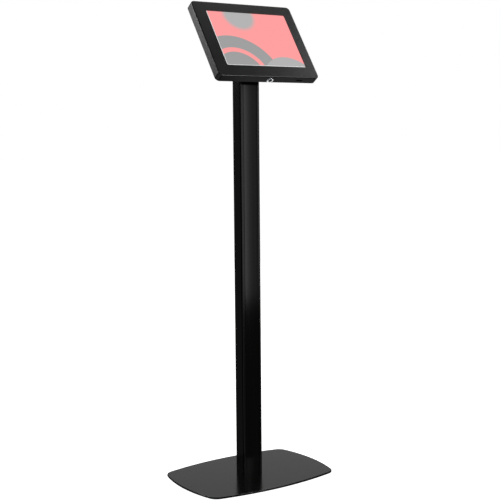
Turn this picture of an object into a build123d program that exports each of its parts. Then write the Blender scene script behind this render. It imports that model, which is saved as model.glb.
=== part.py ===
"""Floor-standing security kiosk for a tablet.

A steel foot plate carries a black aluminium column with a panel slid into its front.
On the column, a tilting and turning steel bracket holds a locked folded-steel housing,
and the housing holds the tablet behind a window.

Millimetres, +Z up. The origin is on the floor, at the middle of the foot plate.
The user stands on the -Y side.
"""
import os

from build123d import *

# Fits and clearances
cut_over = 1.0
running_gap = 0.08
sliding_gap = 0.05
screw_gap = 0.1

# Foot plate
base_w = 369.2
base_d = 256.2
base_t = 4.0
base_bulge_x = 24.8
base_bulge_y = 24.7
base_corner_r = 27.0
base_edge_r = 0.8

# Rubber feet under the plate
foot_t = 1.5
foot_r = 11.0
foot_inset = 46.0
foot_edge = 0.4

# Column extrusion, seen from above
column_w = 50.5
column_d = 34.5
column_h = 940.0
column_y = 2.0
column_corner_r = 1.0
column_wall = 2.2
lip_w = 6.0
lip_t = 2.0
lip_overhang = 1.8
side_groove_w = 3.5
side_groove_depth = 2.0
channel_depth = 3.3
channel_web = 2.0
port_r = 3.0
port_wall = 1.6

# Panel slid into the front of the column
panel_gap = 1.2
panel_recess = 0.3
panel_crown = 0.75
panel_tongue_t = 1.4
panel_tongue_gap = 0.4
panel_leg_t = 1.2
panel_leg_inset = 5.0

# Cable outlet low in the back of the column
outlet_z = 62.0
outlet_r = 10.0
grommet_bore_r = 6.5
grommet_flange_r = 13.0
grommet_flange_t = 1.6
grommet_lip_r = 11.5
grommet_edge = 0.5

# Countersunk screws, foot plate to column
base_screw_r = 2.9
base_screw_len = 22.0
base_screw_head_r = 5.6
base_screw_key_r = 2.0
base_screw_key_depth = 1.8

# Clevis on top of the column
bracket_t = 3.0
ear_gap = 20.0
ear_r = 12.0
ear_foot_d = 28.0
ear_weld_r = 1.5
pivot_rise = 40.2
bracket_cable_r = 6.5
bracket_cable_back = 7.5
bracket_screw_len = 18.0
bracket_screw_head_r = 4.9
bracket_screw_head_t = 3.0
bracket_screw_edge = 0.8
bracket_screw_key_r = 2.3
screw_key_depth = 1.5

# Pivot bolt, its sleeve, washers and nut
pivot_r = 4.0
sleeve_r = 6.5
washer_t = 0.6
washer_r = 10.0
outer_washer_t = 1.6
outer_washer_r = 8.4
hex_flats = 13.0
hex_edge = 0.8
bolt_head_t = 5.3
nut_t = 6.5
nut_collar_t = 1.6
nut_collar_r = 5.6
bolt_end = 1.5

# Tilting plate with its two lugs
tray_to_pivot = 31.7
tilt_plate_w = 64.0
tilt_plate_t = 3.0
tilt_plate_corner_r = 8.0
lug_t = 3.0
lug_root_h = 24.0

# Swivel between the tilting plate and the housing
swivel_disc_r = 20.0
swivel_disc_t = 1.5
swivel_head_r = 7.0
swivel_head_t = 2.8
swivel_head_edge = 1.0
swivel_washer_r = 11.0
swivel_washer_t = 1.2
spring_washer_r = 8.0
spring_washer_edge_t = 0.7
spring_washer_rise = 0.7
stop_pin_r = 3.0
stop_circle_r = 25.0
stop_slot_gap = 0.3
stop_pin_proud = 1.2
stop_pin_edge = 0.4
swivel_turn = 90.0
swivel_turn_spare = 1.5

# Square plate screwed to the back of the housing
vesa_t = 2.5
vesa_margin = 8.0
vesa_corner_r = 8.0
vesa_pitch = 100.0
vesa_pitch_small = 75.0
vesa_hole_r = 2.25
vesa_screw_r = 2.0
vesa_screw_head_r = 3.7
vesa_screw_head_t = 2.3
vesa_screw_edge = 0.9
vesa_screw_key_r = 1.45
press_nut_r = 3.6
press_nut_t = 3.0

# Tablet
tablet_w = 248.0
tablet_h = 174.0
tablet_t = 7.0
tablet_corner_r = 12.0
tablet_back_r = 2.5
glass_t = 0.8
glass_inset = 0.6

# Foam behind the tablet and round its edges
pad_t = 9.1
pad_w = 34.0
pad_h = 28.0
pad_inset_x = 12.0
pad_inset_y = 10.0
pad_corner_r = 4.0
spacer_left = 10.3
spacer_right = 3.7
spacer_top = 9.65
spacer_len = 60.0
spacer_short_len = 30.0
spacer_x = 52.0
spacer_lift = 1.0

# Housing: lean of the screen's plane from the floor, and the folded sheet
head_lean = 55.37
sheet_t = 1.5
glass_gap = 0.5
frame_corner_r = 9.5
frame_edge_r = 2.2
side_gap = 0.75
end_gap = 1.5

# Window in the front frame, by its margins
window_left = 31.3
window_right = 24.7
window_top = 25.6
window_bottom = 30.1
window_corner_r = 3.0
window_edge_r = 0.4
liner_w = 5.0
liner_t = 0.4

# Slot for a charging plug in the bottom wall
plug_slot_x = 83.2
plug_slot_w = 18.0
plug_slot_h = 4.6
plug_slot_up = 9.0

# Rear tray
tray_head_gap = 2.6
tray_edge_r = 1.2
cable_window_w = 30.0
cable_window_h = 15.0
cable_window_down = 44.0
cable_window_r = 4.0
vent_len = 42.0
vent_w = 3.0
vent_pitch = 9.0
vent_count = 7
vent_x = 92.0

# Cam lock in the bottom wall
lock_x = 2.6
lock_up = 8.6
lock_face_r = 7.5
lock_face_t = 1.0
lock_face_edge = 0.35
barrel_r = 6.0
barrel_flats = 10.4
barrel_len = 10.5
clip_t = 1.1
clip_w = 17.0
clip_h = 12.4
clip_grip = 0.5
plug_r = 4.2
plug_set_back = 0.25
plug_tail = 4.6
plug_tail_from = 11.0
key_slot_w = 1.3
key_slot_h = 6.0
key_slot_depth = 6.0
cam_from = 11.6
cam_t = 2.4
cam_hub_r = 4.2
cam_reach = 8.2
cam_arm_w = 6.8
cam_tip_r = 1.0
cam_gap = 0.12
cam_slot_gap = 1.0
cam_slot_swing_gap = 2.0
cam_screw_r = 1.4
cam_screw_depth = 5.0
cam_screw_head_r = 2.9
cam_screw_head_t = 1.8
cam_screw_edge = 0.4
cam_screw_key_r = 1.3
lock_notch_gap = 3.0
lock_tablet_gap = 2.85

# Keeper that the cam turns under
keeper_t = 1.5
keeper_edge_x = 4.9
keeper_web_x = 9.5
keeper_foot_w = 13.0
keeper_foot_h = 9.0
keeper_over_cam = 0.35
keeper_barrel_gap = 1.1
keeper_roof_h = 3.2
keeper_bend_r = 0.6

# Hinge along the top edge, and rivets for it and the keeper
hinge_len = 172.0
hinge_knuckles = 5
hinge_knuckle_r = 2.8
hinge_pin_r = 1.3
hinge_leaf_t = 1.2
hinge_leaf_w = 17.0
hinge_fixed_leaf_w = 16.0
knuckle_gap = 0.3
rivet_r = 1.5
rivet_head_r = 2.8
rivet_head_t = 0.9
rivet_gap = 0.03

# Levels and places that follow from the sizes above
plate_bottom = foot_t
plate_top = plate_bottom + base_t
column_top = plate_top + column_h
pivot_z = column_top + pivot_rise
column_front = -column_d / 2
groove_front = column_front + lip_t
channel_floor = groove_front + channel_depth
cavity_front = channel_floor + channel_web
cavity_back = column_d / 2 - column_wall
cavity_side = column_w / 2 - column_wall
port_outer_r = port_r + port_wall
port_x = cavity_side - port_r
port_front_y = cavity_front + port_r
port_back_y = cavity_back - port_r
port_places = [(sx * port_x, y) for sx in (-1, 1) for y in (port_front_y, port_back_y)]
panel_opening = column_w - 2 * lip_w

# Levels behind the housing, along the screen's normal from the tray's rear face
vesa_back = -vesa_t
disc_back = vesa_back - swivel_disc_t
tilt_front = disc_back - sliding_gap
tilt_back = tilt_front - tilt_plate_t
washer_front = tilt_back - sliding_gap
washer_back = washer_front - swivel_washer_t
spring_back = washer_back - spring_washer_edge_t - spring_washer_rise
swivel_nut_back = spring_back - nut_t

# Places across the pivot
ear_outer = ear_gap / 2 + bracket_t
lug_inner = ear_outer + washer_t + 2 * sliding_gap
lug_outer = lug_inner + lug_t
lug_washer_outer = lug_outer + outer_washer_t

# The housing, from the tablet outwards: the lock sets the room below the tablet
lock_reach = cam_from + cam_t + cam_screw_head_t
spacer_bottom = lock_reach + lock_tablet_gap - 2 * sheet_t - end_gap
tray_in_w = tablet_w + spacer_left + spacer_right
tray_in_h = tablet_h + spacer_top + spacer_bottom
vesa_w = vesa_pitch + 2 * vesa_margin
tray_w = tray_in_w + 2 * sheet_t
tray_h = tray_in_h + 2 * sheet_t
inner_w = tray_w + 2 * side_gap
inner_h = tray_h + 2 * end_gap
frame_w = inner_w + 2 * sheet_t
frame_h = inner_h + 2 * sheet_t
tray_corner_r = frame_corner_r - sheet_t - side_gap
tablet_x = (spacer_left - spacer_right) / 2
tablet_y = (spacer_bottom - spacer_top) / 2
tablet_back = sheet_t + pad_t
tablet_front = tablet_back + tablet_t
frame_depth = tablet_front + glass_gap + sheet_t
tray_wall_h = frame_depth - sheet_t - tray_head_gap
window_w = frame_w - window_left - window_right
window_h = frame_h - window_top - window_bottom
window_x = (window_left - window_right) / 2
window_y = (window_bottom - window_top) / 2
hinge_y = inner_h / 2 - hinge_knuckle_r
hinge_z = -hinge_knuckle_r

# The pivot's line, the tilted housing's place and the lock's place in the housing
pivot_place = Pos(0, column_y, pivot_z)
head_place = pivot_place * Rot(X=head_lean) * Pos(0, 0, tray_to_pivot)
lock_place = Pos(lock_x, -frame_h / 2, lock_up) * Rot(X=-90)


def between(outline, low, high):
    """A solid of one outline between two heights."""
    return Pos(0, 0, low) * extrude(outline, high - low)


def rod(radius, low, high):
    """A round bar along Z between two heights."""
    return between(Circle(radius), low, high)


def hexagon():
    """The outline of a bolt's head or a nut."""
    return RegularPolygon(hex_flats / 2, 6, major_radius=False)


def group(pieces):
    """Separate solids that share one node."""
    return Compound([solid for piece in pieces for solid in piece.solids()])


def at_places(piece, places):
    """Copies of one piece at several places of its plane."""
    return [Pos(x, y) * piece for x, y in places]


def corners(pitch_x, pitch_y):
    """The four corners of a rectangle about the origin."""
    return [(sx * pitch_x / 2, sy * pitch_y / 2) for sx in (-1, 1) for sy in (-1, 1)]


def button_head_screw(shank_r, shank_len, head_r, head_t, edge, key_r):
    """A screw along Z: its head above the plane z = 0, its shank below."""
    head = rod(head_r, 0, head_t)
    head = chamfer(head.edges().sort_by(Axis.Z)[-1], edge)
    head -= between(RegularPolygon(key_r, 6), head_t - screw_key_depth, head_t + cut_over)
    return head + rod(shank_r, -shank_len, 0)


# Foot


def base_outline():
    """A rectangle whose four sides bow outwards, with round corners."""
    half_w = base_w / 2
    half_d = base_d / 2
    side_r = (half_d**2 + base_bulge_x**2) / (2 * base_bulge_x)
    long_r = (half_w**2 + base_bulge_y**2) / (2 * base_bulge_y)
    sides = Pos(half_w - side_r) * Circle(side_r) & Pos(side_r - half_w) * Circle(side_r)
    longs = Pos(0, half_d - long_r) * Circle(long_r) & Pos(0, long_r - half_d) * Circle(long_r)
    outline = sides & longs
    four_corners = outline.vertices().sort_by_distance((0, 0, 0))[-4:]
    return fillet(four_corners, base_corner_r)


def countersink(hole_r, mouth_r, face_z, far_z):
    """The space of a countersunk hole with its mouth in the plane z = face_z."""
    cone = Pos(0, 0, face_z) * Cone(mouth_r, 0, mouth_r, align=(Align.CENTER, Align.CENTER, Align.MIN))
    mouth = rod(mouth_r, face_z - cut_over, face_z)
    return rod(hole_r, face_z, far_z) + cone + mouth


def make_base_plate():
    plate = between(base_outline(), plate_bottom, plate_top)
    plate = fillet(plate.faces().sort_by(Axis.Z)[-1].edges(), base_edge_r)
    hole = countersink(
        base_screw_r + screw_gap, base_screw_head_r + screw_gap, plate_bottom, plate_top + cut_over
    )
    for spot in at_places(hole, port_places):
        plate -= Pos(0, column_y) * spot
    return plate


def make_base_feet():
    foot = rod(foot_r, 0, foot_t)
    foot = chamfer(foot.edges().sort_by(Axis.Z)[0], foot_edge)
    return group(at_places(foot, corners(base_w - 2 * foot_inset, base_d - 2 * foot_inset)))


def make_base_screws():
    head = Cone(
        base_screw_head_r, 0, base_screw_head_r, align=(Align.CENTER, Align.CENTER, Align.MIN)
    )
    screw = head + rod(base_screw_r, 0, base_screw_len)
    screw -= between(RegularPolygon(base_screw_key_r, 6), -cut_over, base_screw_key_depth)
    screw = Pos(0, column_y, plate_bottom) * screw
    return group(at_places(screw, port_places))


# Column


def column_outline():
    """The extrusion's section: lips over a panel channel, side grooves and screw ports."""
    outline = RectangleRounded(column_w, column_d, column_corner_r)
    groove = Pos(0, groove_front + side_groove_w / 2) * Rectangle(column_w + cut_over, side_groove_w)
    keep = Rectangle(column_w - 2 * side_groove_depth, column_d)
    outline -= groove - keep
    mouth_h = lip_t + cut_over
    outline -= Pos(0, groove_front - mouth_h / 2) * Rectangle(panel_opening, mouth_h)
    channel_w = panel_opening + 2 * lip_overhang
    outline -= Pos(0, groove_front + channel_depth / 2) * Rectangle(channel_w, channel_depth)
    cavity_d = cavity_back - cavity_front
    cavity = Pos(0, (cavity_back + cavity_front) / 2) * Rectangle(2 * cavity_side, cavity_d)
    for spot in at_places(Circle(port_outer_r), port_places):
        cavity -= spot
    outline -= cavity
    for spot in at_places(Circle(port_r), port_places):
        outline -= spot
    return outline


def make_column_extrusion():
    column = between(column_outline(), plate_top, column_top)
    outlet = Pos(0, 0, outlet_z) * Rot(X=-90) * rod(outlet_r, 0, column_d)
    return Pos(0, column_y) * (column - outlet)


def make_front_panel():
    """A bowed panel with tongues under the lips and two legs to the channel's floor."""
    land_half = panel_opening / 2 - panel_gap
    edge_y = column_front + panel_recess
    tongue_front = groove_front + sliding_gap
    tongue_back = tongue_front + panel_tongue_t
    bow = ThreePointArc((-land_half, edge_y), (0, edge_y - panel_crown), (land_half, edge_y))
    rest = Polyline(
        (land_half, edge_y), (land_half, tongue_back), (-land_half, tongue_back), (-land_half, edge_y)
    )
    section = make_face([bow, rest])
    tongue_w = panel_opening + 2 * (lip_overhang - panel_tongue_gap)
    section += Pos(0, (tongue_front + tongue_back) / 2) * Rectangle(tongue_w, panel_tongue_t)
    leg_h = channel_floor - tongue_back
    for side in (-1, 1):
        leg_x = side * (land_half - panel_leg_inset)
        section += Pos(leg_x, tongue_back + leg_h / 2) * Rectangle(panel_leg_t, leg_h)
    return Pos(0, column_y) * between(section, plate_top, column_top)


def make_cable_grommet():
    """A rubber ring that lines the cable outlet, with a flange outside and a lip inside."""
    back = column_d / 2
    neck_r = outlet_r - sliding_gap
    flange = rod(grommet_flange_r, back, back + grommet_flange_t)
    flange = chamfer(flange.edges().sort_by(Axis.Z)[-1], grommet_edge)
    inner_lip = rod(grommet_lip_r, cavity_back - grommet_flange_t, cavity_back)
    ring = flange + rod(neck_r, cavity_back, back) + inner_lip
    ring -= rod(grommet_bore_r, 0, column_d)
    return Pos(0, column_y, outlet_z) * Rot(X=-90) * ring


# Clevis on the column


def make_tilt_bracket():
    """A plate that closes the column, with two ears for the pivot bolt."""
    seat = column_top + bracket_t
    plate = between(RectangleRounded(column_w, column_d, column_corner_r), column_top, seat)
    rise = pivot_rise - bracket_t
    foot_line = Pos(0, -rise) * Rectangle(ear_foot_d, bracket_t)
    ear_face = make_hull(foot_line.edges() + Circle(ear_r).edges()) - Circle(pivot_r + running_gap)
    for side in (-1, 1):
        middle = side * (ear_gap + bracket_t) / 2
        ear = extrude(Plane.YZ * ear_face, bracket_t / 2, both=True)
        plate += Pos(middle, 0, pivot_z) * ear
    along_y = plate.edges().filter_by(Axis.Y)
    roots = along_y.filter_by_position(Axis.Z, seat - sliding_gap, seat + sliding_gap)
    plate = fillet(roots, ear_weld_r)
    plate -= Pos(0, bracket_cable_back) * rod(bracket_cable_r, column_top - cut_over, seat + cut_over)
    hole = rod(port_r + screw_gap, column_top - cut_over, seat + cut_over)
    for spot in at_places(hole, port_places):
        plate -= spot
    return Pos(0, column_y) * plate


def make_bracket_screws():
    screw = button_head_screw(
        port_r - screw_gap,
        bracket_screw_len,
        bracket_screw_head_r,
        bracket_screw_head_t,
        bracket_screw_edge,
        bracket_screw_key_r,
    )
    screw = Pos(0, column_y, column_top + bracket_t) * screw
    return group(at_places(screw, port_places))


# Pivot, with its parts drawn along Z and then laid along X


def across_pivot(piece):
    """Lays a piece drawn along Z about the origin on the pivot's line."""
    return pivot_place * Rot(Y=90) * piece


def make_pivot_sleeve():
    half = ear_gap / 2
    return across_pivot(between(Circle(sleeve_r) - Circle(pivot_r + running_gap), -half, half))


def make_pivot_bolt():
    head = between(hexagon(), 0, bolt_head_t)
    head = chamfer(head.edges().group_by(Axis.Z)[-1], hex_edge)
    shank = rod(pivot_r, -lug_washer_outer - nut_t - bolt_end, lug_washer_outer)
    return across_pivot(Pos(0, 0, lug_washer_outer) * head + shank)


def lock_nut():
    """A hexagon nut with its round nylon collar, standing on z = 0."""
    flats = between(hexagon() - Circle(pivot_r), 0, nut_t - nut_collar_t)
    collar = Circle(nut_collar_r) - Circle(pivot_r)
    return flats + between(collar, nut_t - nut_collar_t, nut_t)


def make_pivot_nut():
    return across_pivot(Rot(Y=180) * Pos(0, 0, lug_washer_outer) * lock_nut())


def make_pivot_washers():
    """Two friction washers inside the lugs and two plain ones outside."""
    inner_face = Circle(washer_r) - Circle(pivot_r + running_gap)
    outer_face = Circle(outer_washer_r) - Circle(pivot_r + running_gap)
    inner = between(inner_face, ear_outer + sliding_gap, lug_inner - sliding_gap)
    outer = between(outer_face, lug_outer, lug_washer_outer)
    stack = [inner, outer]
    return group([across_pivot(piece) for piece in stack + [Rot(Y=180) * piece for piece in stack]])


# Tilting plate, in the housing's own place


def make_tilt_plate():
    """A square plate with a curved stop slot and two lugs that reach back to the pivot."""
    face = RectangleRounded(tilt_plate_w, tilt_plate_w, tilt_plate_corner_r)
    face -= Circle(pivot_r + running_gap)
    turn = swivel_turn + swivel_turn_spare
    path = CenterArc((0, 0), stop_circle_r, 90 - turn, 2 * turn)
    face -= SlotArc(path, 2 * (stop_pin_r + stop_slot_gap))
    plate = between(face, tilt_back, tilt_front)
    root = Pos(0, tilt_back + tilt_plate_t / 2) * Rectangle(lug_root_h, tilt_plate_t)
    lug_end = Pos(0, -tray_to_pivot)
    lug_face = make_hull(root.edges() + (lug_end * Circle(ear_r)).edges())
    lug_face -= lug_end * Circle(pivot_r + running_gap)
    for side in (-1, 1):
        lug = extrude(Plane.YZ * lug_face, lug_t / 2, both=True)
        plate += Pos(side * (lug_inner + lug_outer) / 2) * lug
    return head_place * plate


# Swivel, on the housing


def make_vesa_plate():
    face = RectangleRounded(vesa_w, vesa_w, vesa_corner_r) - Circle(pivot_r + screw_gap)
    for pitch in (vesa_pitch, vesa_pitch_small):
        for spot in at_places(Circle(vesa_hole_r), corners(pitch, pitch)):
            face -= spot
    face -= Pos(0, stop_circle_r) * Circle(stop_pin_r)
    face -= cable_window()
    return head_place * between(face, vesa_back, 0)


def cable_window():
    """The opening that a charging cable goes through behind the tablet."""
    return Pos(0, -cable_window_down) * RectangleRounded(cable_window_w, cable_window_h, cable_window_r)


def make_swivel_disc():
    return head_place * between(Circle(swivel_disc_r) - Circle(pivot_r + screw_gap), disc_back, vesa_back)


def make_swivel_bolt():
    head = rod(swivel_head_r, sheet_t, sheet_t + swivel_head_t)
    head = chamfer(head.edges().sort_by(Axis.Z)[-1], swivel_head_edge)
    shank = rod(pivot_r, swivel_nut_back - bolt_end, sheet_t)
    return head_place * (head + shank)


def make_swivel_washers():
    """A plain washer and a conical spring washer behind the tilting plate."""
    hole_r = pivot_r + screw_gap
    plain = between(Circle(swivel_washer_r) - Circle(hole_r), washer_back, washer_front)
    rim = washer_back - spring_washer_edge_t
    section = make_face(
        Polyline(
            (hole_r, rim - spring_washer_rise),
            (spring_washer_r, rim),
            (spring_washer_r, washer_back),
            (hole_r, rim),
            (hole_r, rim - spring_washer_rise),
        )
    )
    spring = revolve(Rot(X=90) * section, Axis.Z)
    return head_place * group([plain, spring])


def make_swivel_nut():
    return head_place * Pos(0, 0, spring_back) * Rot(Y=180) * lock_nut()


def make_stop_pin():
    pin = rod(stop_pin_r, tilt_back - stop_pin_proud, 0)
    pin = chamfer(pin.edges().sort_by(Axis.Z)[0], stop_pin_edge)
    return head_place * Pos(0, stop_circle_r) * pin


def make_vesa_screws():
    screw = button_head_screw(
        vesa_screw_r,
        vesa_t + sheet_t + press_nut_t,
        vesa_screw_head_r,
        vesa_screw_head_t,
        vesa_screw_edge,
        vesa_screw_key_r,
    )
    screw = Pos(0, 0, vesa_back) * Rot(Y=180) * screw
    return head_place * group(at_places(screw, corners(vesa_pitch, vesa_pitch)))


def make_press_nuts():
    nut = between(Circle(press_nut_r) - Circle(vesa_screw_r + running_gap), sheet_t, sheet_t + press_nut_t)
    return head_place * group(at_places(nut, corners(vesa_pitch, vesa_pitch)))


# Rear tray


def keeper_rivet_places():
    foot_y = keeper_low_y() + keeper_foot_h / 2
    first = lock_x + keeper_web_x + keeper_t + rivet_head_r + keeper_bend_r
    return [(first, foot_y), (first + 2 * rivet_head_r + keeper_t, foot_y)]


def hinge_rivet_places():
    """One rivet through the fixed leaf below each of its knuckles, and one between them."""
    rivet_y = hinge_y - hinge_fixed_leaf_w + 2 * rivet_head_r
    step = hinge_len / hinge_knuckles
    return [(side * step, rivet_y) for side in (-1, 0, 1)]


def make_rear_tray():
    """A folded steel tray with vents, cable window and the notch that clears the lock."""
    tray = Box(tray_w, tray_h, tray_wall_h, align=(Align.CENTER, Align.CENTER, Align.MIN))
    tray = fillet(tray.edges().filter_by(Axis.Z), tray_corner_r)
    tray = fillet(tray.faces().sort_by(Axis.Z)[0].edges(), tray_edge_r)
    hollow = RectangleRounded(tray_in_w, tray_in_h, tray_corner_r - sheet_t)
    tray -= between(hollow, sheet_t, tray_wall_h + cut_over)
    holes = cable_window() + Circle(pivot_r + screw_gap) + Pos(0, stop_circle_r) * Circle(stop_pin_r)
    for spot in at_places(Circle(vesa_hole_r), corners(vesa_pitch, vesa_pitch)):
        holes += spot
    for spot in at_places(Circle(rivet_r + rivet_gap), keeper_rivet_places() + hinge_rivet_places()):
        holes += spot
    for side in (-1, 1):
        for step in range(vent_count):
            vent_y = (step - (vent_count - 1) / 2) * vent_pitch
            holes += Pos(side * vent_x, vent_y) * SlotOverall(vent_len, vent_w)
    holes += cam_slot()
    tray -= between(holes, -cut_over, sheet_t + cut_over)
    notch_w = clip_w + 2 * lock_notch_gap
    notch = Box(notch_w, 4 * sheet_t, tray_wall_h, align=(Align.CENTER, Align.CENTER, Align.MIN))
    tray -= Pos(lock_x, -tray_h / 2, sheet_t) * notch
    return head_place * (tray - plug_slot(tray_h))


def plug_slot(wall_to_wall):
    """The slot for a charging plug through the bottom wall of one of the two pans."""
    slot = extrude(SlotOverall(plug_slot_w, plug_slot_h), 2 * sheet_t, both=True)
    return Pos(plug_slot_x, -wall_to_wall / 2, plug_slot_up) * Rot(X=90) * slot


def cam_slot():
    """The slot in the tray's floor that the cam's tip dips into when it is unlocked."""
    low_y = -frame_h / 2 + cam_from - cam_slot_gap
    high_y = -frame_h / 2 + cam_from + cam_t + cam_slot_swing_gap
    left = lock_x - cam_hub_r - cam_slot_gap
    right = lock_x + cam_hub_r + cam_slot_swing_gap
    middle = Pos((left + right) / 2, (low_y + high_y) / 2)
    return middle * Rectangle(right - left, high_y - low_y)


def keeper_low_y():
    """The keeper's edge next to the lock barrel."""
    return -frame_h / 2 + barrel_len + keeper_barrel_gap


def make_lock_keeper():
    """A bent hook on the tray's floor, whose roof the cam turns under."""
    roof_under = lock_up + cam_arm_w / 2 + keeper_over_cam
    roof_top = roof_under + keeper_t
    web_out = keeper_web_x + keeper_t
    foot_end = web_out + keeper_foot_w
    floor_top = sheet_t + keeper_t
    outline = Polyline(
        (keeper_edge_x, roof_under),
        (keeper_web_x, roof_under),
        (keeper_web_x, sheet_t),
        (foot_end, sheet_t),
        (foot_end, floor_top),
        (web_out, floor_top),
        (web_out, roof_top),
        (keeper_edge_x, roof_top),
        close=True,
    )
    section = make_face(outline)
    corner_points = section.vertices()
    bends = corner_points.filter_by_position(Axis.X, web_out - sliding_gap, web_out + sliding_gap)
    section = fillet(bends, keeper_bend_r)
    keeper = extrude(Plane.XZ * section, -keeper_foot_h)
    low_y = keeper_low_y()
    keeper = Pos(lock_x, low_y, 0) * keeper
    above = Box(2 * web_out, keeper_foot_h, roof_top, align=(Align.CENTER, Align.MIN, Align.MIN))
    keeper -= Pos(lock_x, low_y + keeper_roof_h, floor_top + keeper_t) * above
    for spot in at_places(rod(rivet_r + rivet_gap, 0, roof_top), keeper_rivet_places()):
        keeper -= spot
    return head_place * keeper


def rivet(grip_low, grip_high):
    """A rivet along Z with a round head at each end of its grip."""
    section = rod(rivet_r, grip_low, grip_high)
    for low, high in ((grip_low - rivet_head_t, grip_low), (grip_high, grip_high + rivet_head_t)):
        section += rod(rivet_head_r, low, high)
    return section


def make_rivets():
    keeper = at_places(rivet(0, sheet_t + keeper_t), keeper_rivet_places())
    hinge = at_places(rivet(-hinge_leaf_t, sheet_t), hinge_rivet_places())
    return head_place * group(keeper + hinge)


# Hinge along the housing's top edge


def knuckle_spans(moving):
    """The stretches of the hinge's barrel that belong to one leaf, from one end."""
    step = hinge_len / hinge_knuckles
    first = 0 if moving else 1
    return [
        (-hinge_len / 2 + n * step + knuckle_gap / 2, -hinge_len / 2 + (n + 1) * step - knuckle_gap / 2)
        for n in range(first, hinge_knuckles, 2)
    ]


def hinge_leaf(leaf_outline, moving):
    """A leaf's plate with its knuckles: the outline is drawn across the hinge, in Y and Z."""
    plate = extrude(Plane.YZ * leaf_outline, hinge_len / 2, both=True)
    barrel_circle = Plane.YZ * Pos(hinge_y, hinge_z) * Circle(hinge_knuckle_r)
    barrel_space = extrude(barrel_circle, hinge_len / 2, both=True)
    for low, high in knuckle_spans(not moving):
        gap = Box(high - low + 2 * knuckle_gap, 3 * hinge_knuckle_r, 3 * hinge_knuckle_r)
        plate -= Pos((low + high) / 2, hinge_y, hinge_z) * gap
    knuckles = []
    for low, high in knuckle_spans(moving):
        span = Box(high - low, 3 * hinge_knuckle_r, 3 * hinge_knuckle_r)
        knuckles.append(barrel_space & Pos((low + high) / 2, hinge_y, hinge_z) * span)
    for knuckle in knuckles:
        plate += knuckle
    bore = Plane.YZ * Pos(hinge_y, hinge_z) * Circle(hinge_pin_r + running_gap)
    return plate - extrude(bore, hinge_len, both=True)


def make_hinge_fixed_leaf():
    low_y = hinge_y - hinge_fixed_leaf_w
    outline = Pos((hinge_y + low_y) / 2, -hinge_leaf_t / 2) * Rectangle(hinge_fixed_leaf_w, hinge_leaf_t)
    leaf = hinge_leaf(outline, moving=False)
    for spot in at_places(rod(rivet_r + rivet_gap, -hinge_leaf_t - cut_over, cut_over), hinge_rivet_places()):
        leaf -= spot
    return head_place * leaf


def make_hinge_moving_leaf():
    middle = Pos((inner_h - hinge_leaf_t) / 2, hinge_z + hinge_leaf_w / 2)
    outline = middle * Rectangle(hinge_leaf_t, hinge_leaf_w)
    return head_place * hinge_leaf(outline, moving=True)


def make_hinge_pin():
    half = hinge_len / 2
    return head_place * Pos(0, hinge_y, hinge_z) * Rot(Y=90) * rod(hinge_pin_r, -half, half)


# Tablet and what holds it in the tray


def make_tablet_body():
    face = RectangleRounded(tablet_w, tablet_h, tablet_corner_r)
    body = between(face, tablet_back, tablet_front)
    body = fillet(body.faces().sort_by(Axis.Z)[0].edges(), tablet_back_r)
    seat = RectangleRounded(
        tablet_w - 2 * glass_inset, tablet_h - 2 * glass_inset, tablet_corner_r - glass_inset
    )
    body -= between(seat, tablet_front - glass_t, tablet_front + cut_over)
    return head_place * Pos(tablet_x, tablet_y) * body


def make_tablet_glass():
    inset = glass_inset + sliding_gap
    face = RectangleRounded(tablet_w - 2 * inset, tablet_h - 2 * inset, tablet_corner_r - inset)
    return head_place * Pos(tablet_x, tablet_y) * between(face, tablet_front - glass_t, tablet_front)


def make_tablet_pads():
    """Foam blocks between the tray's floor and the tablet's back."""
    pad = between(RectangleRounded(pad_w, pad_h, pad_corner_r), sheet_t, tablet_back)
    pitch_x = tablet_w - 2 * pad_inset_x - pad_w
    pitch_y = tablet_h - 2 * pad_inset_y - pad_h
    return head_place * Pos(tablet_x, tablet_y) * group(at_places(pad, corners(pitch_x, pitch_y)))


def make_edge_spacers():
    """Foam strips that fill the space between the tablet's edges and the tray's walls."""
    low = sheet_t + spacer_lift
    high = tray_wall_h - spacer_lift
    strips = []
    for side in (-1, 1):
        wall = side * tray_in_w / 2
        edge = tablet_x + side * tablet_w / 2
        strip = Rectangle(abs(wall - edge), spacer_len)
        strips.append(Pos((wall + edge) / 2, tablet_y) * between(strip, low, high))
    for side in (-1, 1):
        wall = side * tray_in_h / 2
        edge = tablet_y + side * tablet_h / 2
        strip = Rectangle(spacer_short_len, abs(wall - edge))
        for end in (-1, 1):
            strips.append(Pos(end * spacer_x, (wall + edge) / 2) * between(strip, low, high))
    return head_place * group(strips)


# Front frame


def make_front_frame():
    """A folded steel pan that drops over the tray, with the window and the lock's hole."""
    pan = Box(frame_w, frame_h, frame_depth, align=(Align.CENTER, Align.CENTER, Align.MIN))
    pan = fillet(pan.edges().filter_by(Axis.Z), frame_corner_r)
    pan = fillet(pan.faces().sort_by(Axis.Z)[-1].edges(), frame_edge_r)
    hollow = RectangleRounded(inner_w, inner_h, frame_corner_r - sheet_t)
    pan -= between(hollow, -cut_over, frame_depth - sheet_t)
    window = Pos(window_x, window_y) * RectangleRounded(window_w, window_h, window_corner_r)
    pan -= between(window, 0, frame_depth + cut_over)
    front = pan.faces().sort_by(Axis.Z)[-1]
    pan = fillet(front.inner_wires()[0].edges(), window_edge_r)
    pan -= plug_slot(frame_h)
    lock_hole = barrel_outline(barrel_r + screw_gap, screw_gap)
    pan -= lock_place * between(lock_hole, -cut_over, sheet_t + cut_over)
    return head_place * pan


def make_window_liner():
    outer_w = window_w + 2 * liner_w
    outer_h = window_h + 2 * liner_w
    ring = RectangleRounded(outer_w, outer_h, window_corner_r + liner_w)
    ring -= RectangleRounded(window_w, window_h, window_corner_r)
    top = frame_depth - sheet_t
    return head_place * Pos(window_x, window_y) * between(ring, top - liner_t, top)


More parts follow.
